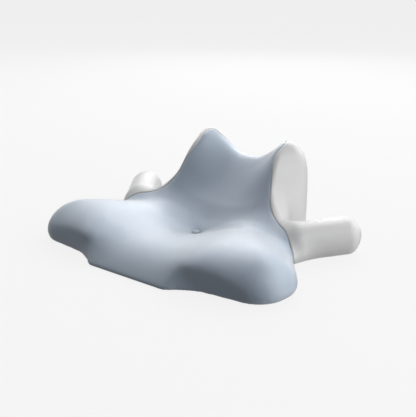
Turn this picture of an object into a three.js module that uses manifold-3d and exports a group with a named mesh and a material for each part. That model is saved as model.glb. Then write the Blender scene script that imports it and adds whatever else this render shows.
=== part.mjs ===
import * as THREE from "three";
import { mergeVertices } from "three/addons/utils/BufferGeometryUtils.js";
import Module from "manifold-3d";

// Foam floor seat with a low backrest. Millimetres, +Z up, +X to the sitter's left, +Y to the rear.
// All tables hold the half with x >= 0; the other half is its mirror image.
// While it is built, y = 0 is the straight front edge of the seat and z = 0 is the floor.

// Driving dimensions
const SEAT_HEIGHT = 95;
const HORN_HEIGHT = 234;
const ARM_HEIGHT = 89;
const LIP_HALF_WIDTH = 115;
const PANEL_GAP = 0.3;
const MESH_CELL = 15;
const SEAM_CELL = 30;

// Widths over which the forms blend into each other
const LOBE_TO_MIDDLE = 24;
const COLUMN_TO_BACK = 16;
const ARM_TO_BACK = 45;
const SEAT_TO_BACK = 40;
const DISH_RIM_IN_SEAT = 45;
const DISH_RIM_IN_BACK = 20;
const DISH_RIM_FRONT_Y = 280;
const DISH_RIM_REAR_Y = 380;
const RIDGE_RIM = 30;

// The hollow that the sitter fills, as cross sections from front to rear:
// height on the centre line, then the crest beside it and how sharply the dish bends up to it.
const DISH = table(["y", "centreZ", "crestX", "crestZ", "power"], [
  [-60, 40, 190, 100, 2.7],
  [0, 50, 195, 106, 2.6],
  [60, 58, 203, 114, 2.6],
  [110, 62, 209, 120, 2.4],
  [150, 62, 213, 121, 2.3],
  [185, 59, 215, 119, 2.1],
  [213, 53, 215, 116, 1.8],
  [240, 46, 213, 111, 1.5],
  [275, 40, 210, 104, 1.3],
  [320, 50, 195, 98, 1.2],
  [360, 73, 174, 100, 1.45],
  [391, 93, 151, 144, 1.7],
  [418, 113, 137, 192, 1.85],
  [455, 144, 128, 232, 1.95],
  [492, 172, 126, 258, 2.04],
  [515, 183, 126, 266, 2.04],
  [540, 176, 126, 266, 2.04],
  [575, 140, 126, 250, 2.04],
  [640, 60, 126, 200, 2.04],
]);
const DISH_MIDDLE_ROUNDING = 12;

// Column of the backrest: it leans forward as it goes down, from a narrow front to a round rear.
const COLUMN = table(["z", "frontX", "frontY", "rearX", "rearY"], [
  [0, 165, 366, 136, 510],
  [95, 155, 373, 136, 510],
  [109, 145, 383, 134, 512],
  [143, 131, 404, 133, 512],
  [174, 122, 420, 133, 512],
  [208, 113, 442, 131, 512],
  [229, 108, 468, 128, 512],
  [245, 106, 480, 124, 510],
]);
const COLUMN_FRONT_RADIUS = 22;
const COLUMN_REAR_RADIUS = 46;

// Seam between the front panel and the rear panel, from the floor up to the horn's tip,
// with the depth of the parting surface on the centre line at the same height.
const SEAM = table(["z", "x", "y", "centreY"], [
  [0, 282, 305, 400],
  [40, 253, 322, 432],
  [68, 225, 337, 454],
  [89, 184, 353, 471],
  [109, 163, 370, 487],
  [143, 149, 391, 515],
  [174, 140, 407, 541],
  [208, 131, 429, 567],
  [229, 126, 455, 583],
  [242, 124, 505, 594],
  [270, 124, 525, 616],
]);

// Plan outlines, grown by their rounding radius
const LOBE_PLAN = plan([[163, 120], [245, 130], [283, 134], [285, 150], [218, 262], [150, 300], [120, 240]]);
const LOBE_ROUNDING = 80;
const LOBE_CROWN = 3;
const BACK_PLAN = plan([[-10, 410], [90, 410], [126, 508], [-10, 514]]);
const BACK_ROUNDING = 50;
const ARM_ROOT = new THREE.Vector2(262, 350);
const ARM_TIP = new THREE.Vector2(326, 456);
const ARM_RADIUS = 46;

// How high on the lobe its outline is widest: half way up in front, near the floor at the outer side.
const LOBE_WIDEST = table(["x", "z"], [
  [230, 54],
  [285, 36],
  [340, 18],
]);

// Front face of the seat between the lobes, on the centre line: straight lip, then leaning back.
const FACE = table(["z", "y"], [
  [-20, -10],
  [0, 0],
  [13, 12],
  [25, 24],
  [45, 44],
  [60, 60],
  [80, 90],
  [95, 125],
  [120, 190],
]);
const FACE_STEEPNESS = 0.7;
const FACE_EDGE_ROUNDING = 5;
const SIDE_FLARE_DEPTH = 100;
const SIDE_LEAN = 0.7;
const SIDE_STEEPNESS = 0.63;
const MIDDLE_TOP = SEAT_HEIGHT + 9;
const MIDDLE_REAR_Y = 400;
const MIDDLE_ROUNDING = 20;

// Tufted button in the deepest point of the dish
const BUTTON_Y = 277;
const BUTTON_RADIUS = 9.5;
const BUTTON_THICKNESS = 6;
const BUTTON_SINK = 6;
const BUTTON_TILT_DEG = 8;
const BUTTON_EDGE_RADIUS = 2;
const DIMPLE_DEPTH = 7;
const DIMPLE_RADIUS = 18;

// Small helpers

function table(columns, rows) {
  return { columns, rows };
}

function plan(points) {
  return points.map(([x, y]) => new THREE.Vector2(x, y));
}

// Reads one column of a table at a position, bending smoothly through its rows without overshoot.
function read(source, name, at) {
  const { columns, rows } = source;
  const c = columns.indexOf(name);
  const last = rows.length - 1;
  const t = THREE.MathUtils.clamp(at, rows[0][0], rows[last][0]);
  let i = 0;
  while (i < last - 1 && t > rows[i + 1][0]) i += 1;
  const slope = (k) => (rows[k + 1][c] - rows[k][c]) / (rows[k + 1][0] - rows[k][0]);
  const tangent = (k) => {
    if (k === 0) return slope(0);
    if (k === last) return slope(last - 1);
    const before = slope(k - 1);
    const after = slope(k);
    return before * after <= 0 ? 0 : (2 * before * after) / (before + after);
  };
  const span = rows[i + 1][0] - rows[i][0];
  const u = (t - rows[i][0]) / span;
  const a = rows[i][c];
  const b = rows[i + 1][c];
  const curve = (2 * u * u * u - 3 * u * u + 1) * a + (3 * u * u - 2 * u * u * u) * b;
  return curve + (u * u * u - 2 * u * u + u) * span * tangent(i) + (u * u * u - u * u) * span * tangent(i + 1);
}

// Distance fields: negative inside, joined and cut with a rounding of the given width.

function join(a, b, width) {
  const h = THREE.MathUtils.clamp(0.5 + (0.5 * (b - a)) / width, 0, 1);
  return b + (a - b) * h - width * h * (1 - h);
}

function cut(a, b, width) {
  return -join(-a, -b, width);
}

function outlineDistance(points, x, y) {
  let nearest = Infinity;
  let inside = false;
  points.forEach((p, i) => {
    const q = points[(i + 1) % points.length];
    const ex = q.x - p.x;
    const ey = q.y - p.y;
    const t = THREE.MathUtils.clamp(((x - p.x) * ex + (y - p.y) * ey) / (ex * ex + ey * ey), 0, 1);
    nearest = Math.min(nearest, Math.hypot(x - p.x - ex * t, y - p.y - ey * t));
    if (p.y > y !== q.y > y && x < p.x + ((y - p.y) / ey) * ex) inside = !inside;
  });
  return inside ? -nearest : nearest;
}

// Foam form over a plan outline: widest at one height, crowned above and drawn in below.
function foam(planDistance, z, { reach, top, widest, power, foot }) {
  const rise = top - widest;
  const u = Math.max(1 + planDistance / reach, 0);
  const v = z > widest ? (z - widest) / rise : (widest - z) / (widest * foot);
  return ((u ** power + v ** power) ** (1 / power) - 1) * Math.min(reach, rise);
}

// The forms of the seat

function dishTop(x, y) {
  const centre = read(DISH, "centreZ", y);
  const out = Math.hypot(x, DISH_MIDDLE_ROUNDING) - DISH_MIDDLE_ROUNDING;
  const bend = (out / (read(DISH, "crestX", y) - DISH_MIDDLE_ROUNDING)) ** read(DISH, "power", y);
  const fromButton = x * x + (y - BUTTON_Y) ** 2;
  const dimple = DIMPLE_DEPTH * Math.exp(-fromButton / DIMPLE_RADIUS ** 2);
  return centre + (read(DISH, "crestZ", y) - centre) * bend - dimple;
}

function dish(x, y, z) {
  const top = dishTop(x, y);
  const slopeX = dishTop(x + 1, y) - top;
  const slopeY = dishTop(x, y + 1) - top;
  return (z - top) / Math.hypot(1, slopeX, slopeY);
}

function thighLobe(x, y, z) {
  const distance = outlineDistance(LOBE_PLAN, x, y) - LOBE_ROUNDING;
  const widest = read(LOBE_WIDEST, "z", x);
  return foam(distance, z, { reach: 112, top: SEAT_HEIGHT + LOBE_CROWN, widest, power: 1.9, foot: 3.5 });
}

function column(x, y, z) {
  const frontX = read(COLUMN, "frontX", z);
  const frontY = read(COLUMN, "frontY", z);
  const length = Math.hypot(read(COLUMN, "rearX", z) - frontX, read(COLUMN, "rearY", z) - frontY);
  const dx = (read(COLUMN, "rearX", z) - frontX) / length;
  const dy = (read(COLUMN, "rearY", z) - frontY) / length;
  const along = (x - frontX) * dx + (y - frontY) * dy;
  const across = Math.abs((x - frontX) * dy - (y - frontY) * dx);
  const growth = (COLUMN_REAR_RADIUS - COLUMN_FRONT_RADIUS) / length;
  const t = THREE.MathUtils.clamp(along + (across * growth) / Math.sqrt(1 - growth * growth), 0, length);
  const distance = Math.hypot(along - t, across) - COLUMN_FRONT_RADIUS - growth * t;
  return foam(distance, z, { reach: 50, top: HORN_HEIGHT, widest: 150, power: 2.3, foot: 3.0 });
}

function backrest(x, y, z) {
  const distance = outlineDistance(BACK_PLAN, x, y) - BACK_ROUNDING;
  return foam(distance, z, { reach: 50, top: HORN_HEIGHT, widest: 100, power: 2.2, foot: 2.2 });
}

function rearArm(x, y, z) {
  const axis = ARM_TIP.clone().sub(ARM_ROOT);
  const t = ((x - ARM_ROOT.x) * axis.x + (y - ARM_ROOT.y) * axis.y) / axis.lengthSq();
  const onAxis = ARM_ROOT.clone().addScaledVector(axis, THREE.MathUtils.clamp(t, 0, 1));
  const distance = Math.hypot(x - onAxis.x, y - onAxis.y) - ARM_RADIUS;
  return foam(distance, z, { reach: ARM_RADIUS, top: ARM_HEIGHT, widest: 45, power: 2.15, foot: 1.25 });
}

// Middle of the seat: its front rises from a straight lip on the floor and its sides flare out.
function seatMiddle(x, y, z) {
  const face = (read(FACE, "y", z) - y) * FACE_STEEPNESS;
  const flare = THREE.MathUtils.clamp(y, 0, SIDE_FLARE_DEPTH);
  const side = (x - LIP_HALF_WIDTH - flare + SIDE_LEAN * z) * SIDE_STEEPNESS;
  const front = cut(face, side, FACE_EDGE_ROUNDING);
  return cut(cut(front, z - MIDDLE_TOP, MIDDLE_ROUNDING), y - MIDDLE_REAR_Y, MIDDLE_ROUNDING);
}

function body(anyX, y, z) {
  const x = Math.abs(anyX);
  const hollow = dish(x, y, z);
  const toBack = THREE.MathUtils.clamp((y - DISH_RIM_FRONT_Y) / (DISH_RIM_REAR_Y - DISH_RIM_FRONT_Y), 0, 1);
  const rim = THREE.MathUtils.lerp(DISH_RIM_IN_SEAT, DISH_RIM_IN_BACK, toBack);
  const seat = join(thighLobe(x, y, z), cut(seatMiddle(x, y, z), hollow, rim), LOBE_TO_MIDDLE);
  const back = join(column(x, y, z), backrest(x, y, z), COLUMN_TO_BACK);
  const posts = join(back, rearArm(x, y, z), ARM_TO_BACK);
  return cut(join(seat, posts, SEAT_TO_BACK), hollow - 1, Math.min(rim, RIDGE_RIM));
}

// Closed skin of a field: one corner in each cell that the surface crosses, moved onto the surface.
function skin(field, low, high, cell) {
  const size = ["x", "y", "z"].map((a) => Math.ceil((high[a] - low[a]) / cell) + 1);
  const at = (i, j, k) => (k * size[1] + j) * size[0] + i;
  const place = (i, j, k) => [low.x + i * cell, low.y + j * cell, low.z + k * cell];
  const value = new Float64Array(size[0] * size[1] * size[2]);
  for (let k = 0; k < size[2]; k += 1) {
    for (let j = 0; j < size[1]; j += 1) {
      for (let i = 0; i < size[0]; i += 1) value[at(i, j, k)] = field(...place(i, j, k));
    }
  }
  const corner = new Map();
  const positions = [];
  const indices = [];
  const edges = [];
  for (let e = 0; e < 8; e += 1) {
    for (const bit of [1, 2, 4]) if (!(e & bit)) edges.push([e, e | bit]);
  }
  const shift = (e) => [e & 1, (e >> 1) & 1, (e >> 2) & 1];
  for (let k = 0; k < size[2] - 1; k += 1) {
    for (let j = 0; j < size[1] - 1; j += 1) {
      for (let i = 0; i < size[0] - 1; i += 1) {
        const sum = new THREE.Vector3();
        let crossings = 0;
        for (const [a, b] of edges) {
          const sa = shift(a);
          const sb = shift(b);
          const va = value[at(i + sa[0], j + sa[1], k + sa[2])];
          const vb = value[at(i + sb[0], j + sb[1], k + sb[2])];
          if (va < 0 === vb < 0) continue;
          const pa = new THREE.Vector3(...place(i + sa[0], j + sa[1], k + sa[2]));
          const pb = new THREE.Vector3(...place(i + sb[0], j + sb[1], k + sb[2]));
          sum.add(pa.lerp(pb, va / (va - vb)));
          crossings += 1;
        }
        if (crossings === 0) continue;
        const p = settle(field, sum.divideScalar(crossings), cell);
        corner.set(at(i, j, k), positions.length / 3);
        positions.push(p.x, p.y, p.z);
      }
    }
  }
  const steps = [[1, 0, 0], [0, 1, 0], [0, 0, 1]];
  for (let k = 1; k < size[2] - 1; k += 1) {
    for (let j = 1; j < size[1] - 1; j += 1) {
      for (let i = 1; i < size[0] - 1; i += 1) {
        const inside = value[at(i, j, k)] < 0;
        steps.forEach((s, axis) => {
          if (inside === value[at(i + s[0], j + s[1], k + s[2])] < 0) return;
          const u = steps[(axis + 1) % 3];
          const v = steps[(axis + 2) % 3];
          const around = [[0, 0], [1, 0], [1, 1], [0, 1]].map(([m, n]) =>
            corner.get(at(i - m * u[0] - n * v[0], j - m * u[1] - n * v[1], k - m * u[2] - n * v[2])),
          );
          if (!inside) around.reverse();
          indices.push(around[0], around[1], around[2], around[0], around[2], around[3]);
        });
      }
    }
  }
  const geometry = new THREE.BufferGeometry();
  geometry.setAttribute("position", new THREE.Float32BufferAttribute(positions, 3));
  geometry.setIndex(indices);
  return geometry;
}

// Moves a point along the field's slope towards the surface, by no more than a quarter of a cell.
function settle(field, p, cell) {
  const start = p.clone();
  const reach = cell / 5;
  const along = (axis) => {
    const ahead = p.clone();
    const behind = p.clone();
    ahead[axis] += reach;
    behind[axis] -= reach;
    return (field(ahead.x, ahead.y, ahead.z) - field(behind.x, behind.y, behind.z)) / (2 * reach);
  };
  for (let round = 0; round < 2; round += 1) {
    const slope = new THREE.Vector3(along("x"), along("y"), along("z"));
    p.addScaledVector(slope, -field(p.x, p.y, p.z) / Math.max(slope.lengthSq(), 0.5));
  }
  return start.add(p.sub(start).clampLength(0, cell / 4));
}

// Solids and their cuts

const wasm = await Module();
wasm.setup();

function solid(geometry) {
  const bare = geometry.clone();
  bare.deleteAttribute("normal");
  bare.deleteAttribute("uv");
  const merged = mergeVertices(bare, 1e-4);
  const vertProperties = Float32Array.from(merged.attributes.position.array);
  const triVerts = Uint32Array.from(merged.index.array);
  return new wasm.Manifold(new wasm.Mesh({ numProp: 3, vertProperties, triVerts }));
}

function geometryOf(manifold) {
  const { vertProperties, triVerts } = manifold.getMesh();
  const geometry = new THREE.BufferGeometry();
  geometry.setAttribute("position", new THREE.BufferAttribute(vertProperties, 3));
  geometry.setIndex(new THREE.BufferAttribute(triVerts, 1));
  return geometry;
}

function block(low, high) {
  const size = new THREE.Vector3().subVectors(high, low);
  const centre = new THREE.Vector3().addVectors(low, high).multiplyScalar(0.5);
  return new THREE.BoxGeometry(size.x, size.y, size.z).translate(centre.x, centre.y, centre.z);
}

// Depth of the parting surface: through the seam on both sides, bowed to the rear between them.
function partingY(anyX, z) {
  const x = Math.abs(anyX);
  const seamX = read(SEAM, "x", z);
  const seamY = read(SEAM, "y", z);
  const centreY = read(SEAM, "centreY", z);
  if (x < seamX) return centreY - (centreY - seamY) * (x / seamX) ** 3;
  const sweep = THREE.MathUtils.clamp(0.6 + (z - 100) / 100, 0.6, 1.6);
  return seamY - sweep * (x - seamX);
}

// Everything behind the parting surface, moved back by a small distance.
function behindSeam(low, high, moved) {
  const columns = Math.ceil((high.x - low.x) / SEAM_CELL);
  const rows = Math.ceil((high.z - low.z) / SEAM_CELL);
  const box = new THREE.BoxGeometry(high.x - low.x, 1, high.z - low.z, columns, 1, rows);
  const place = box.attributes.position;
  for (let i = 0; i < place.count; i += 1) {
    const x = place.getX(i) + (low.x + high.x) / 2;
    const z = place.getZ(i) + (low.z + high.z) / 2;
    const y = place.getY(i) < 0 ? partingY(x, z) + moved : high.y;
    place.setXYZ(i, x, y, z);
  }
  return box;
}

// Covered button: a flat back, a rounded edge and a low dome.
function buttonGeometry(extra) {
  const radius = BUTTON_RADIUS + extra;
  const half = BUTTON_THICKNESS / 2 + extra;
  const profile = [new THREE.Vector2(0, -half)];
  for (let i = 0; i <= 6; i += 1) {
    const angle = -Math.PI / 2 + (Math.PI * i) / 6;
    const edge = BUTTON_EDGE_RADIUS * (Math.cos(angle) - 1);
    profile.push(new THREE.Vector2(radius + edge, half * 0.8 * Math.sin(angle)));
  }
  profile.push(new THREE.Vector2(radius * 0.5, half * 0.95));
  profile.push(new THREE.Vector2(0, half));
  const geometry = new THREE.LatheGeometry(profile, 20);
  geometry.rotateX(Math.PI / 2 + THREE.MathUtils.degToRad(BUTTON_TILT_DEG));
  const height = dishTop(0, BUTTON_Y) + BUTTON_THICKNESS / 2 - BUTTON_SINK;
  return geometry.translate(0, BUTTON_Y, height);
}

const low = new THREE.Vector3(-420, -30, -30);
const high = new THREE.Vector3(420, 600, 270);
const foamSkin = skin((x, y, z) => Math.max(body(x, y, z), -z - MESH_CELL), low, high, MESH_CELL);
const floorBlock = block(new THREE.Vector3(low.x, low.y, 0), high);
const whole = solid(foamSkin).intersect(solid(floorBlock));
const frontSolid = whole
  .subtract(solid(behindSeam(low, high, -PANEL_GAP / 2)))
  .subtract(solid(buttonGeometry(PANEL_GAP)));
const rearSolid = whole.intersect(solid(behindSeam(low, high, PANEL_GAP / 2)));

// The part's own origin is on the floor, in the middle of its outline.
const outline = geometryOf(whole);
outline.computeBoundingBox();
const middle = outline.boundingBox.getCenter(new THREE.Vector3());

const part = new THREE.Group();

function addPiece(name, geometry, colour, roughness) {
  const material = new THREE.MeshStandardMaterial({ color: colour, roughness, metalness: 0 });
  const mesh = new THREE.Mesh(geometry, material);
  mesh.name = name;
  mesh.position.set(-middle.x, -middle.y, 0);
  part.add(mesh);
}

addPiece("front_panel", geometryOf(frontSolid), 0x7a8894, 0.85);
addPiece("rear_panel", geometryOf(rearSolid), 0xdcdcdc, 0.85);
addPiece("tuft_button", buttonGeometry(0), 0x7a8894, 0.8);

export default part;
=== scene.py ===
import math

import bmesh
import bpy
import numpy as np
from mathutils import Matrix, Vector


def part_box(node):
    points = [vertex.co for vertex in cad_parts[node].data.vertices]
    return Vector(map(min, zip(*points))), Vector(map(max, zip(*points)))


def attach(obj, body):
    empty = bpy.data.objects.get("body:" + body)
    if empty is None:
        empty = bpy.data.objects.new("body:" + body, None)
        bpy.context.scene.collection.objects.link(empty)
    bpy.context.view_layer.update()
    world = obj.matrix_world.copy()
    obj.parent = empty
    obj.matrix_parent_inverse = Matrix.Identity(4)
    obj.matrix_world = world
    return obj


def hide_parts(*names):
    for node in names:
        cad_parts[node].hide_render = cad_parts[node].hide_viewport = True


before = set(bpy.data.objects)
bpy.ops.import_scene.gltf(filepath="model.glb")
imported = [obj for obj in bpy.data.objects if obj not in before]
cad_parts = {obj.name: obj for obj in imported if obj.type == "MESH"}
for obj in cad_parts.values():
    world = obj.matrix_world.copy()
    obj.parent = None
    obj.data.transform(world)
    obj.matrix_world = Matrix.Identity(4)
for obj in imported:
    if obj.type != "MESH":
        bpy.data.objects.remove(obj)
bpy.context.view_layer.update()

# Foam core
# One block of slow foam is moulded to the whole shape: seat, thigh lobes, backrest, horns and arms.
# Its form is worked out here in millimetres for the right half and mirrored, with y = 0 at the
# straight front lip and z = 0 at the floor. Both covers are drawn tight over it.

MM = 0.001
FRONT_LIP_Y = -281.6
TABLE_STEP = 2.0
TABLE_MARGIN = 100
FAIRING = 11.0


def fair(grid, stations, values):
    """A table's values on a fine even grid, bent smoothly past the stations."""
    line = np.interp(grid, stations, values)
    steps = round(3 * FAIRING / TABLE_STEP)
    weight = np.exp(-0.5 * (np.arange(-steps, steps + 1) * TABLE_STEP / FAIRING) ** 2)
    return np.convolve(np.pad(line, steps, mode="edge"), weight / weight.sum(), mode="valid")


class Table:
    """Rows of named columns, read at any place along the first one."""

    def __init__(self, names, rows):
        stations, *columns = zip(*rows)
        self.grid = np.arange(stations[0] - TABLE_MARGIN, stations[-1] + TABLE_MARGIN, TABLE_STEP)
        self.columns = {name: fair(self.grid, stations, values) for name, values in zip(names[1:], columns)}

    def read(self, name, at):
        return np.interp(at, self.grid, self.columns[name])


def join(a, b, width):
    """Two forms in one, blended over a width."""
    h = np.clip(0.5 + 0.5 * (b - a) / width, 0, 1)
    return b + (a - b) * h - width * h * (1 - h)


def cut(a, b, width):
    """What two forms share, with its edge rounded over a width."""
    return -join(-a, -b, width)


def outline_distance(points, x, y):
    """Distance in plan to a closed outline, negative inside."""
    nearest = np.full(x.shape, 1e9)
    inside = np.zeros(x.shape, bool)
    for p, q in zip(points, points[1:] + points[:1]):
        ex, ey = q[0] - p[0], q[1] - p[1]
        t = np.clip(((x - p[0]) * ex + (y - p[1]) * ey) / (ex * ex + ey * ey), 0, 1)
        nearest = np.minimum(nearest, np.hypot(x - p[0] - ex * t, y - p[1] - ey * t))
        if ey:
            inside ^= ((p[1] > y) != (q[1] > y)) & (x < p[0] + (y - p[1]) / ey * ex)
    return np.where(inside, -nearest, nearest)


def foam(plan_distance, z, reach, top, widest, power, foot):
    """Crowned foam over a plan outline: widest at one height, drawn in towards the floor."""
    rise = top - widest
    u = np.maximum(1 + plan_distance / reach, 0)
    v = np.where(z > widest, (z - widest) / rise, (widest - z) / (widest * foot))
    return ((u**power + v**power) ** (1 / power) - 1) * np.minimum(reach, rise)


# The dish that hollows the seat and the backrest, with its crest along the lobes and the horns
DISH = Table(
    ["y", "centre_z", "crest_x", "crest_z", "power"],
    [
        (-60, 40, 190, 100, 2.7),
        (0, 50, 195, 106, 2.6),
        (60, 58, 203, 114, 2.6),
        (110, 62, 209, 120, 2.4),
        (150, 62, 213, 121, 2.3),
        (185, 59, 215, 119, 2.1),
        (213, 53, 215, 116, 1.8),
        (240, 45, 213, 111, 1.4),
        (258, 40, 212, 108, 1.2),
        (275, 36, 210, 104, 1.1),
        (292, 40, 205, 101, 1.05),
        (320, 50, 195, 98, 1.05),
        (360, 73, 174, 100, 1.4),
        (391, 93, 151, 144, 1.7),
        (418, 113, 137, 192, 1.85),
        (455, 144, 128, 232, 1.95),
        (492, 172, 126, 258, 2.04),
        (515, 183, 126, 266, 2.04),
        (540, 176, 126, 266, 2.04),
        (575, 140, 126, 250, 2.04),
        (640, 60, 126, 200, 2.04),
    ],
)
DISH_MIDDLE_ROUNDING = 12.0
DISH_RIM_Y = [280, 380]
DISH_RIM = [45, 14]
RIDGE_RIM = 30
DISH_CLEARANCE = 1

# The dimple under the button, and the pinch of cloth that runs from it up to each column's foot
TUFT_Y = 277.0
DIMPLE_DEPTH = 7.0
DIMPLE_RADIUS = 13.0
PINCH_END = (112.0, 352.0)
PINCH_DEPTH = 3.0
PINCH_WIDTH = 15.0
PINCH_FADE = 1.5


def dish_top(x, y):
    """Height of the dish."""
    centre = DISH.read("centre_z", y)
    out = np.sqrt(x * x + DISH_MIDDLE_ROUNDING**2) - DISH_MIDDLE_ROUNDING
    reach = DISH.read("crest_x", y) - DISH_MIDDLE_ROUNDING
    bend = (out / reach) ** DISH.read("power", y)
    dimple = DIMPLE_DEPTH * np.exp(-(x * x + (y - TUFT_Y) ** 2) / DIMPLE_RADIUS**2)
    ex, ey = PINCH_END[0], PINCH_END[1] - TUFT_Y
    t = np.clip((x * ex + (y - TUFT_Y) * ey) / (ex * ex + ey * ey), 0, 1)
    off = np.hypot(x - ex * t, y - TUFT_Y - ey * t)
    pinch = PINCH_DEPTH * (1 - t) ** PINCH_FADE * np.exp(-((off / PINCH_WIDTH) ** 2))
    return centre + (DISH.read("crest_z", y) - centre) * bend - dimple - pinch


def dish(x, y, z):
    top = dish_top(x, y)
    slope_x = dish_top(x + 1, y) - top
    slope_y = dish_top(x, y + 1) - top
    return (z - top) / np.sqrt(1 + slope_x**2 + slope_y**2)


# Thigh lobes: widest half way up in front and near the floor at the outer side, lower to the rear
LOBE_PLAN = [(163, 120), (245, 130), (283, 134), (285, 150), (208, 254), (150, 292), (120, 240)]
LOBE_ROUNDING = 80.0
LOBE_TOP = Table(["y", "z"], [(110, 98), (150, 97), (185, 94), (224, 87), (260, 78), (300, 70)])
LOBE_WIDEST = Table(["x", "z"], [(230, 54), (285, 36), (340, 18)])
LOBE_TURN = 0.4
LOBE_TURN_Y = 130


def thigh_lobe(x, y, z):
    distance = outline_distance(LOBE_PLAN, x, y) - LOBE_ROUNDING
    widest = LOBE_WIDEST.read("z", x + LOBE_TURN * np.maximum(y - LOBE_TURN_Y, 0))
    return foam(distance, z, reach=112.0, top=LOBE_TOP.read("z", y), widest=widest, power=1.9, foot=3.5)


# Middle of the seat: its front rises from a straight lip on the floor and its sides flare out
SEAT_HEIGHT = 95.0
FACE = Table(
    ["z", "y"], [(-20, -10), (0, 0), (13, 12), (25, 24), (45, 44), (60, 60), (80, 90), (95, 125), (120, 190)]
)
FACE_HALF_WIDTH = 115.0
FACE_STEEPNESS = 0.7
FACE_EDGE_ROUNDING = 5
SIDE_FLARE_DEPTH = 100
SIDE_LEAN = 0.7
SIDE_STEEPNESS = 0.63
MIDDLE_CROWN = 9
MIDDLE_REAR_Y = 400
MIDDLE_ROUNDING = 20


def middle(x, y, z):
    face = (FACE.read("y", z) - y) * FACE_STEEPNESS
    side = (x - FACE_HALF_WIDTH - np.clip(y, 0, SIDE_FLARE_DEPTH) + SIDE_LEAN * z) * SIDE_STEEPNESS
    block = cut(face, side, FACE_EDGE_ROUNDING)
    block = cut(block, z - SEAT_HEIGHT - MIDDLE_CROWN, MIDDLE_ROUNDING)
    return cut(block, y - MIDDLE_REAR_Y, MIDDLE_ROUNDING)


# Columns beside the backrest: in plan a slim round front edge and a broad rear one, leaning back
COLUMN = Table(
    ["z", "front_x", "front_y", "rear_x", "rear_y"],
    [
        (0, 165, 366, 136, 510),
        (95, 155, 373, 136, 510),
        (109, 145, 383, 134, 512),
        (143, 131, 404, 133, 512),
        (174, 122, 420, 133, 512),
        (208, 113, 442, 131, 512),
        (229, 108, 468, 128, 512),
        (245, 106, 480, 124, 510),
    ],
)
COLUMN_FRONT_RADIUS = 22.0
COLUMN_REAR_RADIUS = 46.0
HORN_HEIGHT = 234.0
BACK_PLAN = [(-10, 410), (90, 410), (126, 508), (-10, 514)]
BACK_ROUNDING = 50.0


def column(x, y, z):
    front_x = COLUMN.read("front_x", z)
    front_y = COLUMN.read("front_y", z)
    run_x = COLUMN.read("rear_x", z) - front_x
    run_y = COLUMN.read("rear_y", z) - front_y
    length = np.hypot(run_x, run_y)
    along = ((x - front_x) * run_x + (y - front_y) * run_y) / length
    across = np.abs((x - front_x) * run_y - (y - front_y) * run_x) / length
    growth = (COLUMN_REAR_RADIUS - COLUMN_FRONT_RADIUS) / length
    t = np.clip(along + across * growth / np.sqrt(1 - growth**2), 0, length)
    distance = np.hypot(along - t, across) - COLUMN_FRONT_RADIUS - growth * t
    return foam(distance, z, reach=50.0, top=HORN_HEIGHT, widest=150.0, power=2.3, foot=3.0)


def backrest(x, y, z):
    distance = outline_distance(BACK_PLAN, x, y) - BACK_ROUNDING
    return foam(distance, z, reach=50.0, top=HORN_HEIGHT, widest=100.0, power=2.2, foot=2.2)


# Rear arms: short round-ended arms that leave the columns' feet slanting out and back
ARM_ROOT = (256.0, 352.0)
ARM_TIP = (326.0, 456.0)
ARM_ROOT_RADIUS = 43.0
ARM_RADIUS = 46.0
ARM_HEIGHT = 89.0


def rear_arm(x, y, z):
    ex, ey = ARM_TIP[0] - ARM_ROOT[0], ARM_TIP[1] - ARM_ROOT[1]
    t = np.clip(((x - ARM_ROOT[0]) * ex + (y - ARM_ROOT[1]) * ey) / (ex * ex + ey * ey), 0, 1)
    radius = ARM_ROOT_RADIUS + (ARM_RADIUS - ARM_ROOT_RADIUS) * t
    distance = np.hypot(x - ARM_ROOT[0] - ex * t, y - ARM_ROOT[1] - ey * t) - radius
    return foam(distance, z, reach=ARM_RADIUS, top=ARM_HEIGHT, widest=45.0, power=1.9, foot=1.4)


# Widths over which the forms blend into each other
LOBE_TO_MIDDLE = 24
COLUMN_TO_BACK = 16
ARM_TO_BACK = 100
SEAT_TO_BACK = 42
FLOOR_EDGE = 3


def core(x, y, z):
    """Distance to the foam's skin, negative inside."""
    x = np.abs(x)
    hollow = dish(x, y, z)
    rim = np.interp(y, DISH_RIM_Y, DISH_RIM)
    seat = join(thigh_lobe(x, y, z), cut(middle(x, y, z), hollow, rim), LOBE_TO_MIDDLE)
    back = join(column(x, y, z), backrest(x, y, z), COLUMN_TO_BACK)
    posts = join(back, rear_arm(x, y, z), ARM_TO_BACK)
    body = cut(join(seat, posts, SEAT_TO_BACK), hollow - DISH_CLEARANCE, np.minimum(rim, RIDGE_RIM))
    return cut(body, -z, FLOOR_EDGE)


# The skin's mesh: one point for each small cell that the skin crosses, moved onto it and evened out
SKIN_CELL = 4.6
SKIN_LIMITS = (380.0, 570.0, 252.0)
SLOPE_STEP = 0.8
LEAST_SLOPE = 0.3


def slope_of(field, p, reach):
    """The field's slope at each point."""
    slope = np.empty_like(p)
    for axis in range(3):
        step = np.zeros(3)
        step[axis] = reach
        ahead, behind = p + step, p - step
        slope[:, axis] = (field(*ahead.T) - field(*behind.T)) / (2 * reach)
    return slope


def settle(field, p, rounds, most):
    """Moves points onto the skin, each round by no more than the given distance."""
    for _ in range(rounds):
        slope = slope_of(field, p, SLOPE_STEP)
        move = -field(*p.T) / np.maximum((slope**2).sum(1), LEAST_SLOPE)
        step = slope * move[:, None]
        length = np.linalg.norm(step, axis=1, keepdims=True)
        p = p + step * np.minimum(1, most / np.maximum(length, 1e-9))
    return p


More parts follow.
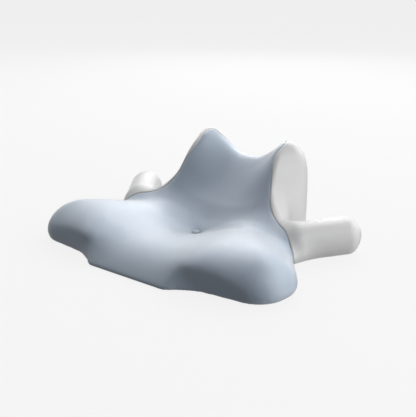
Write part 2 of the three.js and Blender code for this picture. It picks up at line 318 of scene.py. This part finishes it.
def skin(field, highest, cell):
    """Closed quad mesh of a mirrored field, with one corner in every grid cell that the skin crosses."""
    half = np.arange(cell / 2, highest[0], cell)
    xs = np.concatenate([-half[::-1], half])
    ys = np.arange(-3 * cell, highest[1], cell)
    zs = np.arange(-3 * cell, highest[2], cell)
    gx, gy, gz = np.meshgrid(half, ys, zs, indexing="ij")
    right = field(gx.ravel(), gy.ravel(), gz.ravel()).reshape(gx.shape)
    value = np.concatenate([right[::-1], right])
    inside = value < 0
    corners = [(i, j, k) for i in (0, 1) for j in (0, 1) for k in (0, 1)]
    nx, ny, nz = (n - 1 for n in value.shape)

    def shifted(array, c):
        return array[c[0] : c[0] + nx, c[1] : c[1] + ny, c[2] : c[2] + nz]

    count = sum(shifted(inside, c).astype(int) for c in corners)
    cells = np.argwhere((count > 0) & (count < 8))
    total = np.zeros((len(cells), 3))
    crossings = np.zeros(len(cells))
    for a in corners:
        for axis in range(3):
            if a[axis]:
                continue
            b = tuple(c + (i == axis) for i, c in enumerate(a))
            va = value[tuple((cells + a).T)]
            vb = value[tuple((cells + b).T)]
            crossed = (va < 0) != (vb < 0)
            t = np.where(crossed, va / np.where(crossed, va - vb, 1), 0)
            point = cells + np.array(a) + t[:, None] * (np.array(b) - np.array(a))
            total += point * crossed[:, None]
            crossings += crossed
    grid = total / crossings[:, None]
    start = np.array([xs[0], ys[0], zs[0]])
    number = np.full((nx, ny, nz), -1)
    number[tuple(cells.T)] = np.arange(len(cells))
    directions = np.eye(3, dtype=int)
    quads = []
    for axis in range(3):
        u = np.roll(directions, 1, axis=1)[axis]
        v = np.roll(directions, 2, axis=1)[axis]
        first = directions[axis]
        ahead = inside[first[0] :, first[1] :, first[2] :]
        here = inside[: ahead.shape[0], : ahead.shape[1], : ahead.shape[2]]
        edges = np.argwhere(here != ahead)
        outward = here[tuple(edges.T)]
        around = [number[tuple((edges - m * u - n * v).T)] for m, n in ((0, 0), (1, 0), (1, 1), (0, 1))]
        faces = np.stack(around, 1)
        faces[~outward] = faces[~outward][:, ::-1]
        quads.append(faces)
    return grid * cell + start, np.concatenate(quads)


def relax(points, quads, rounds, share):
    """Evens out the skin: each point moves part of the way to the middle of its neighbours."""
    pairs = np.concatenate([quads[:, [0, 1]], quads[:, [1, 2]], quads[:, [2, 3]], quads[:, [3, 0]]])
    degree = np.bincount(pairs.ravel(), minlength=len(points))
    for _ in range(rounds):
        total = np.zeros_like(points)
        for axis in range(3):
            total[:, axis] += np.bincount(pairs[:, 0], points[pairs[:, 1], axis], len(points))
            total[:, axis] += np.bincount(pairs[:, 1], points[pairs[:, 0], axis], len(points))
        points = points + share * (total / degree[:, None] - points)
    return points


skin_points, skin_quads = skin(core, SKIN_LIMITS, SKIN_CELL)
skin_points = settle(core, skin_points, rounds=2, most=SKIN_CELL / 2)
skin_points = relax(skin_points, skin_quads, rounds=3, share=0.5)

# Seam between the covers
# The blue-grey front cover and the off-white rear cover are sewn together right sides in, so only a
# narrow valley shows. It runs from the floor behind each lobe up the rim of the backrest, over the
# horn's tip and along the rear of the ridge. The white side rolls up a little beside it.

SEAM = Table(
    ["z", "x", "y", "centre_y"],
    [
        (0, 288, 293, 400),
        (19, 285, 292, 415),
        (36, 280, 290, 429),
        (52, 269, 296, 441),
        (66, 255, 305, 452),
        (75, 234, 321, 460),
        (79, 203, 348, 463),
        (88, 182, 355, 471),
        (95, 173, 359, 477),
        (109, 163, 369, 487),
        (124, 155, 380, 500),
        (142, 148, 393, 515),
        (173, 138, 411, 541),
        (191, 131, 424, 553),
        (205, 125, 437, 564),
        (216, 120, 451, 573),
        (225, 119, 464, 581),
        (233, 121, 476, 587),
        (239, 124, 495, 592),
        (245, 129, 520, 597),
        (270, 129, 535, 616),
    ],
)
SWEEP_Z = [100, 200]
SWEEP = [0.6, 1.6]
SEAM_DEPTH = 2.8
SEAM_WIDTH = 2.0
SEAM_ROWS = [0.7, 1.6, 3.0, 5.0]
ROLL_HEIGHT = 0.55
ROLL_AT = 3.4
ROLL_WIDTH = 2.2
HEM_TURN = 5.0
HEM_SET_BACK = 0.4
SEAM_SLOPE_STEP = 1.5
LEAST_SEAM_SLOPE = 0.35


def parting_y(x, z):
    """Depth of the surface through the seam that divides the covers."""
    x = np.abs(x)
    seam_x, seam_y = SEAM.read("x", z), SEAM.read("y", z)
    centre_y = SEAM.read("centre_y", z)
    inside = centre_y - (centre_y - seam_y) * (x / seam_x) ** 3
    sweep = np.interp(z, SWEEP_Z, SWEEP)
    return np.where(x < seam_x, inside, seam_y - sweep * (x - seam_x))


def parting(x, y, z):
    """How far behind the parting surface a point lies."""
    return y - parting_y(x, z)


def split_skin(points, quads):
    """Cuts the skin along the seam, with a few rows beside it, and gives back its mesh."""
    sheared = points.copy()
    sheared[:, 1] -= parting_y(points[:, 0], points[:, 2])
    mesh = bpy.data.meshes.new("skin")
    mesh.from_pydata(sheared.tolist(), [], quads.tolist())
    shape = bmesh.new()
    shape.from_mesh(mesh)
    bpy.data.meshes.remove(mesh)
    for row in [0.0] + SEAM_ROWS + [-row for row in SEAM_ROWS]:
        near = [f for f in shape.faces if min(abs(v.co.y - row) for v in f.verts) < 3 * SKIN_CELL]
        edges = {e for f in near for e in f.edges}
        verts = {v for f in near for v in f.verts}
        bmesh.ops.bisect_plane(
            shape, geom=list(verts) + list(edges) + near, plane_co=(0, row, 0), plane_no=(0, 1, 0), dist=1e-4
        )
    return shape


split = split_skin(skin_points, skin_quads)
split.verts.ensure_lookup_table()
split_points = np.array([v.co for v in split.verts])
seam_offset = split_points[:, 1].copy()
split_points[:, 1] += parting_y(split_points[:, 0], split_points[:, 2])
normals = slope_of(core, split_points, SEAM_SLOPE_STEP)
normals /= np.linalg.norm(normals, axis=1, keepdims=True)
across = slope_of(parting, split_points, SEAM_SLOPE_STEP)
across -= normals * (across * normals).sum(1, keepdims=True)
seam_distance = seam_offset / np.maximum(np.linalg.norm(across, axis=1), LEAST_SEAM_SLOPE)
valley = SEAM_DEPTH * np.exp(-np.abs(seam_distance) / SEAM_WIDTH)
roll = ROLL_HEIGHT * np.exp(-(((seam_distance - ROLL_AT) / ROLL_WIDTH) ** 2))
split_points += normals * (roll - valley)[:, None]
split_points[:, 2] = np.maximum(split_points[:, 2], 0.0)


def cover(name, side):
    """One cover: its side of the skin, with the cut edge turned in along the seam."""
    shape = split.copy()
    shape.verts.ensure_lookup_table()
    for vert, point in zip(shape.verts, split_points):
        vert.co = point
    away = [f for f in shape.faces if side * sum(seam_offset[v.index] for v in f.verts) < 0]
    edge_normals = {v.index: normals[v.index] for v in shape.verts if abs(seam_offset[v.index]) < 1e-3}
    skin_index = shape.verts.layers.int.new("skin_index")
    for vert in shape.verts:
        vert[skin_index] = vert.index
    bmesh.ops.delete(shape, geom=away, context="FACES")
    rim = [e for e in shape.edges if e.is_boundary]
    turned = bmesh.ops.extrude_edge_only(shape, edges=rim)["geom"]
    for vert in turned:
        if isinstance(vert, bmesh.types.BMVert):
            inward = edge_normals.get(vert[skin_index])
            if inward is not None:
                vert.co -= Vector(inward * HEM_TURN)
                vert.co.y += side * HEM_SET_BACK
    for vert in shape.verts:
        vert.co = Vector((vert.co.x, vert.co.y + FRONT_LIP_Y, max(vert.co.z, 0.0))) * MM
    bmesh.ops.recalc_face_normals(shape, faces=shape.faces)
    mesh = bpy.data.meshes.new(name)
    shape.to_mesh(mesh)
    shape.free()
    mesh.shade_smooth()
    piece = bpy.data.objects.new(name, mesh)
    bpy.context.collection.objects.link(piece)
    return piece


# Front cover
# The seat, the lobes and the hollow of the backrest are covered in a blue-grey two-way stretch jersey
# with a soft brushed face, cut in one panel and drawn tight over the foam. The wales run up the seat
# and stand about a millimetre apart.

WALE = 0.0011
COURSE = 0.0009
STITCH_SLANT = 0.55
BLUE_GREY = (0.272, 0.333, 0.412, 1)
BLUE_GREY_SHADE = (0.233, 0.286, 0.356, 1)
WARM_NAP = (1.0, 0.99, 0.975, 1)


def calculator(tree):
    """A function that adds one sum to a material's nodes and gives back its result."""

    def step(operation, first, second=None):
        node = tree.nodes.new("ShaderNodeMath")
        node.operation = operation
        for socket, value in zip(node.inputs, (first, second)):
            if isinstance(value, (int, float)):
                socket.default_value = value
            elif value is not None:
                tree.links.new(value, socket)
        return node.outputs[0]

    return step


def knit_group():
    """Height of the jersey's stitches over two flat coordinates: rows of small V shapes."""
    group = bpy.data.node_groups.new("jersey_stitches", "ShaderNodeTree")
    group.interface.new_socket("across", in_out="INPUT", socket_type="NodeSocketFloat")
    group.interface.new_socket("along", in_out="INPUT", socket_type="NodeSocketFloat")
    group.interface.new_socket("height", in_out="OUTPUT", socket_type="NodeSocketFloat")
    source = group.nodes.new("NodeGroupInput")
    target = group.nodes.new("NodeGroupOutput")
    step = calculator(group)
    wale = step("FRACT", step("DIVIDE", source.outputs["across"], WALE))
    from_middle = step("MULTIPLY", step("ABSOLUTE", step("SUBTRACT", wale, 0.5)), 2.0)
    slant = step("MULTIPLY", from_middle, STITCH_SLANT)
    row = step("ADD", step("DIVIDE", source.outputs["along"], COURSE), slant)
    wave = step("SINE", step("MULTIPLY", row, 2 * math.pi))
    loop = step("ADD", step("MULTIPLY", wave, 0.5), 0.5)
    groove = step("SUBTRACT", 1.0, step("POWER", from_middle, 3.0))
    group.links.new(step("MULTIPLY", loop, groove), target.inputs["height"])
    return group


jersey_stitches = knit_group()


def jersey(name, colour, shade_colour, sheen, sheen_tint):
    """Brushed stretch jersey: fine stitches, a faint cloudy tone, painted shade in the grooves between the
    stitches and a soft nap.
    """
    cloth = bpy.data.materials.new(name)
    cloth.use_nodes = True
    nodes, links = cloth.node_tree.nodes, cloth.node_tree.links
    step = calculator(cloth.node_tree)
    surface = nodes["Principled BSDF"]
    surface.inputs["Roughness"].default_value = 0.45
    surface.inputs["Specular IOR Level"].default_value = 1.0
    surface.inputs["Sheen Weight"].default_value = sheen
    surface.inputs["Sheen Roughness"].default_value = 0.30
    surface.inputs["Sheen Tint"].default_value = sheen_tint
    place = nodes.new("ShaderNodeTexCoord")
    position = nodes.new("ShaderNodeSeparateXYZ")
    links.new(place.outputs["Object"], position.inputs[0])
    facing = nodes.new("ShaderNodeSeparateXYZ")
    links.new(place.outputs["Normal"], facing.inputs[0])
    x, y, z = position.outputs

    # The stitches laid on from three sides, each where the cloth faces that side
    weights = [step("POWER", step("ABSOLUTE", n), 4.0) for n in facing.outputs]
    whole = step("ADD", step("ADD", weights[0], weights[1]), weights[2])
    stitch_height = None
    for weight, across_socket, along_socket in zip(weights, (y, x, x), (z, z, y)):
        knit = nodes.new("ShaderNodeGroup")
        knit.node_tree = jersey_stitches
        links.new(across_socket, knit.inputs["across"])
        links.new(along_socket, knit.inputs["along"])
        share = step("MULTIPLY", knit.outputs["height"], step("DIVIDE", weight, whole))
        stitch_height = share if stitch_height is None else step("ADD", stitch_height, share)

    cloud = nodes.new("ShaderNodeTexNoise")
    cloud.inputs["Scale"].default_value = 9.0
    cloud.inputs["Detail"].default_value = 3.0
    links.new(place.outputs["Object"], cloud.inputs["Vector"])
    fibre = nodes.new("ShaderNodeTexNoise")
    fibre.inputs["Scale"].default_value = 900.0
    fibre.inputs["Detail"].default_value = 2.0
    links.new(place.outputs["Object"], fibre.inputs["Vector"])

    tone = nodes.new("ShaderNodeMix")
    tone.data_type = "RGBA"
    tone.inputs["A"].default_value = colour
    tone.inputs["B"].default_value = shade_colour
    # The colour leans towards the darker one in random cloudy patches and fibres, and in the grooves between
    # the stitches as painted shade.
    patch = step("MULTIPLY", step("SUBTRACT", cloud.outputs[0], 0.35), 0.6)
    groove_shade = step("MULTIPLY", step("SUBTRACT", 1.0, stitch_height), 0.35)
    mottle_and_groove_shade = step("ADD", step("ADD", patch, groove_shade), step("MULTIPLY", fibre.outputs[0], 0.25))
    links.new(mottle_and_groove_shade, tone.inputs["Factor"])
    links.new(tone.outputs["Result"], surface.inputs["Base Color"])

    relief = step("ADD", stitch_height, step("MULTIPLY", fibre.outputs[0], 0.6))
    bump = nodes.new("ShaderNodeBump")
    bump.inputs["Strength"].default_value = 0.55
    bump.inputs["Distance"].default_value = 0.00022
    links.new(relief, bump.inputs["Height"])
    links.new(bump.outputs[0], surface.inputs["Normal"])
    return cloth


front_cover = cover("front_cover", -1)
front_cover.data.materials.append(jersey("blue_grey_jersey", BLUE_GREY, BLUE_GREY_SHADE, 1.0, WARM_NAP))
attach(front_cover, "root")
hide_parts("front_panel")

# Rear cover
# The columns, the back and the rear arms are covered in the same jersey in off-white. It is closed
# against the front cover all along the seam and stands on the floor behind it.

OFF_WHITE = (0.43, 0.43, 0.43, 1)
OFF_WHITE_SHADE = (0.39, 0.39, 0.392, 1)
WHITE_NAP = (1, 1, 1, 1)

rear_cover = cover("rear_cover", 1)
rear_cover.data.materials.append(jersey("off_white_jersey", OFF_WHITE, OFF_WHITE_SHADE, 1.0, WHITE_NAP))
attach(rear_cover, "root")
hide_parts("rear_panel")
split.free()

# Tuft button
# A covered button of the same cloth, pulled down by a cord through the foam into the deepest point
# of the hollow. Its cloth is gathered over a domed shell, so fine pleats run round the edge.

BUTTON_TILT = math.radians(8.0)
BUTTON_HALF_HEIGHT = 0.0030
BUTTON_EDGE = 0.55
PLEATS = 22
PLEAT_HEIGHT = 0.012
PLEAT_END = 0.9
PLEAT_ON_DOME = 0.2
RINGS, SPOKES = 22, 88
BUTTON_CLOTH = (0.30, 0.36, 0.42, 1)
BUTTON_CLOTH_SHADE = (0.17, 0.21, 0.26, 1)
BUTTON_NAP = (0.90, 0.94, 1.0, 1)

button_low, button_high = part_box("tuft_button")
button_middle = (button_low + button_high) / 2
button_radius = (button_high.x - button_low.x) / 2
button_shape = bmesh.new()
rings = []
for ring in range(RINGS + 1):
    angle = -math.pi / 2 + math.pi * ring / RINGS
    fade = 1 if angle < PLEAT_END else PLEAT_ON_DOME
    verts = []
    for spoke in range(SPOKES):
        turn = 2 * math.pi * spoke / SPOKES
        flat = math.copysign(abs(math.cos(angle)) ** BUTTON_EDGE, math.cos(angle))
        pleat = PLEAT_HEIGHT * math.cos(PLEATS * turn) * math.cos(angle) ** 2 * fade
        radius = button_radius * (flat * (1 - PLEAT_HEIGHT) + pleat)
        height = BUTTON_HALF_HEIGHT * math.sin(angle)
        verts.append(button_shape.verts.new((radius * math.cos(turn), radius * math.sin(turn), height)))
        if ring in (0, RINGS):
            break
    rings.append(verts)
for lower, upper in zip(rings, rings[1:]):
    for spoke in range(SPOKES):
        corners = [lower[spoke % len(lower)], lower[(spoke + 1) % len(lower)]]
        corners += [upper[(spoke + 1) % len(upper)], upper[spoke % len(upper)]]
        button_shape.faces.new(list(dict.fromkeys(corners)))
tilt_cos, tilt_sin = math.cos(BUTTON_TILT), math.sin(BUTTON_TILT)
for vert in button_shape.verts:
    x, y, z = vert.co
    vert.co = button_middle + Vector((x, y * tilt_cos - z * tilt_sin, y * tilt_sin + z * tilt_cos))
bmesh.ops.recalc_face_normals(button_shape, faces=button_shape.faces)
button_mesh = bpy.data.meshes.new("tuft_button")
button_shape.to_mesh(button_mesh)
button_shape.free()
button_mesh.shade_smooth()
tuft_button = bpy.data.objects.new("tuft_button_cloth", button_mesh)
bpy.context.collection.objects.link(tuft_button)
tuft_button.data.materials.append(
    jersey("button_jersey", BUTTON_CLOTH, BUTTON_CLOTH_SHADE, 0.35, BUTTON_NAP)
)
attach(tuft_button, "root")
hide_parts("tuft_button")

# Floor
# A seamless pale studio floor that sweeps up into the wall. It isn't part of the object. It glows
# faintly by itself, as a lit backdrop does, and takes only weak shadows.

COVE_RADIUS = 9.0
COVE_BEND = 3.0
COVE_WALL = 9.0
COVE_STEPS = 12
COVE_SIDES = 96
FLOOR_DROP = 0.0005

profile = [(COVE_RADIUS, 0.0)]
for n in range(1, COVE_STEPS + 1):
    angle = math.pi / 2 * n / COVE_STEPS
    profile.append((COVE_RADIUS + COVE_BEND * math.sin(angle), COVE_BEND * (1 - math.cos(angle))))
profile.append((COVE_RADIUS + COVE_BEND, COVE_WALL))
cove = bmesh.new()
cove_rings = []
for radius, height in profile:
    turns = [2 * math.pi * n / COVE_SIDES for n in range(COVE_SIDES)]
    cove_rings.append([cove.verts.new((radius * math.cos(t), radius * math.sin(t), height)) for t in turns])
cove.faces.new(cove_rings[0])
for lower, upper in zip(cove_rings, cove_rings[1:]):
    for n in range(COVE_SIDES):
        beside = (n + 1) % COVE_SIDES
        cove.faces.new((lower[n], lower[beside], upper[beside], upper[n]))
floor_mesh = bpy.data.meshes.new("floor")
cove.to_mesh(floor_mesh)
cove.free()
floor = bpy.data.objects.new("floor", floor_mesh)
floor.location.z = -FLOOR_DROP
bpy.context.collection.objects.link(floor)
floor_paint = bpy.data.materials.new("floor")
floor_paint.use_nodes = True
floor_surface = floor_paint.node_tree.nodes["Principled BSDF"]
floor_surface.inputs["Base Color"].default_value = (0.05, 0.05, 0.05, 1)
floor_surface.inputs["Roughness"].default_value = 1.0
floor_surface.inputs["Specular IOR Level"].default_value = 0.0
floor_surface.inputs["Emission Color"].default_value = (1, 1, 1, 1)
floor_surface.inputs["Emission Strength"].default_value = 0.85
floor.data.materials.append(floor_paint)
floor.visible_diffuse = False
floor.visible_glossy = False
floor.visible_shadow = False

# Studio light
# Large soft boxes all round at one distance, strongest at the right, behind and behind on the left,
# with the pale floor's bounce from below and a weak even sky.

BOX_DISTANCE = 3.4
BOX_SIZE = 1.8
BOX_AIM = Vector((0, 0, 0.08))

world = bpy.data.worlds.new("studio")
bpy.context.scene.world = world
world.use_nodes = True
world.node_tree.nodes["Background"].inputs["Color"].default_value = (1, 1, 1, 1)
world.node_tree.nodes["Background"].inputs["Strength"].default_value = 0.25


def softbox(name, direction, height, power):
    """A square lamp aimed at the seat: its direction from +X and its height are angles in degrees."""
    lamp = bpy.data.lights.new(name, "AREA")
    lamp.shape = "SQUARE"
    lamp.size = BOX_SIZE
    lamp.energy = power
    turn, rise = math.radians(direction), math.radians(height)
    flat = math.cos(rise)
    place = BOX_DISTANCE * Vector((math.cos(turn) * flat, math.sin(turn) * flat, math.sin(rise)))
    box = bpy.data.objects.new(name, lamp)
    box.location = place
    box.rotation_euler = (BOX_AIM - place).to_track_quat("-Z", "Y").to_euler()
    bpy.context.collection.objects.link(box)


softbox("right", 0, 42, 32)
softbox("low_right", 15, 18, 50)
softbox("behind_right", 60, 26, 42)
softbox("behind", 92, 42, 52)
softbox("low_behind_left", 120, 26, 56)
softbox("behind_left", 135, 42, 26)
softbox("above_left", 180, 60, 24)
softbox("front_left", 200, 30, 14)
softbox("floor_bounce", 22, -20, 48)

# Camera
# It stands at the photograph's viewing angle, front right and above, with a 65 mm lens on a 36 mm
# wide picture. Its place is measured from the middle of the front lip.

CAMERA_AZIMUTH = math.radians(36.98)
CAMERA_ELEVATION = math.radians(19.56)

camera_data = bpy.data.cameras.new("camera")
camera_data.sensor_width = 36.0
camera_data.lens = 65.0
camera = bpy.data.objects.new("camera", camera_data)
camera.location = (1.1114, -1.1475 + FRONT_LIP_Y * MM, 0.7354)
camera.rotation_euler = (math.pi / 2 - CAMERA_ELEVATION, 0, CAMERA_AZIMUTH)
bpy.context.collection.objects.link(camera)
bpy.context.scene.camera = camera
bpy.context.scene.view_settings.view_transform = "Standard"
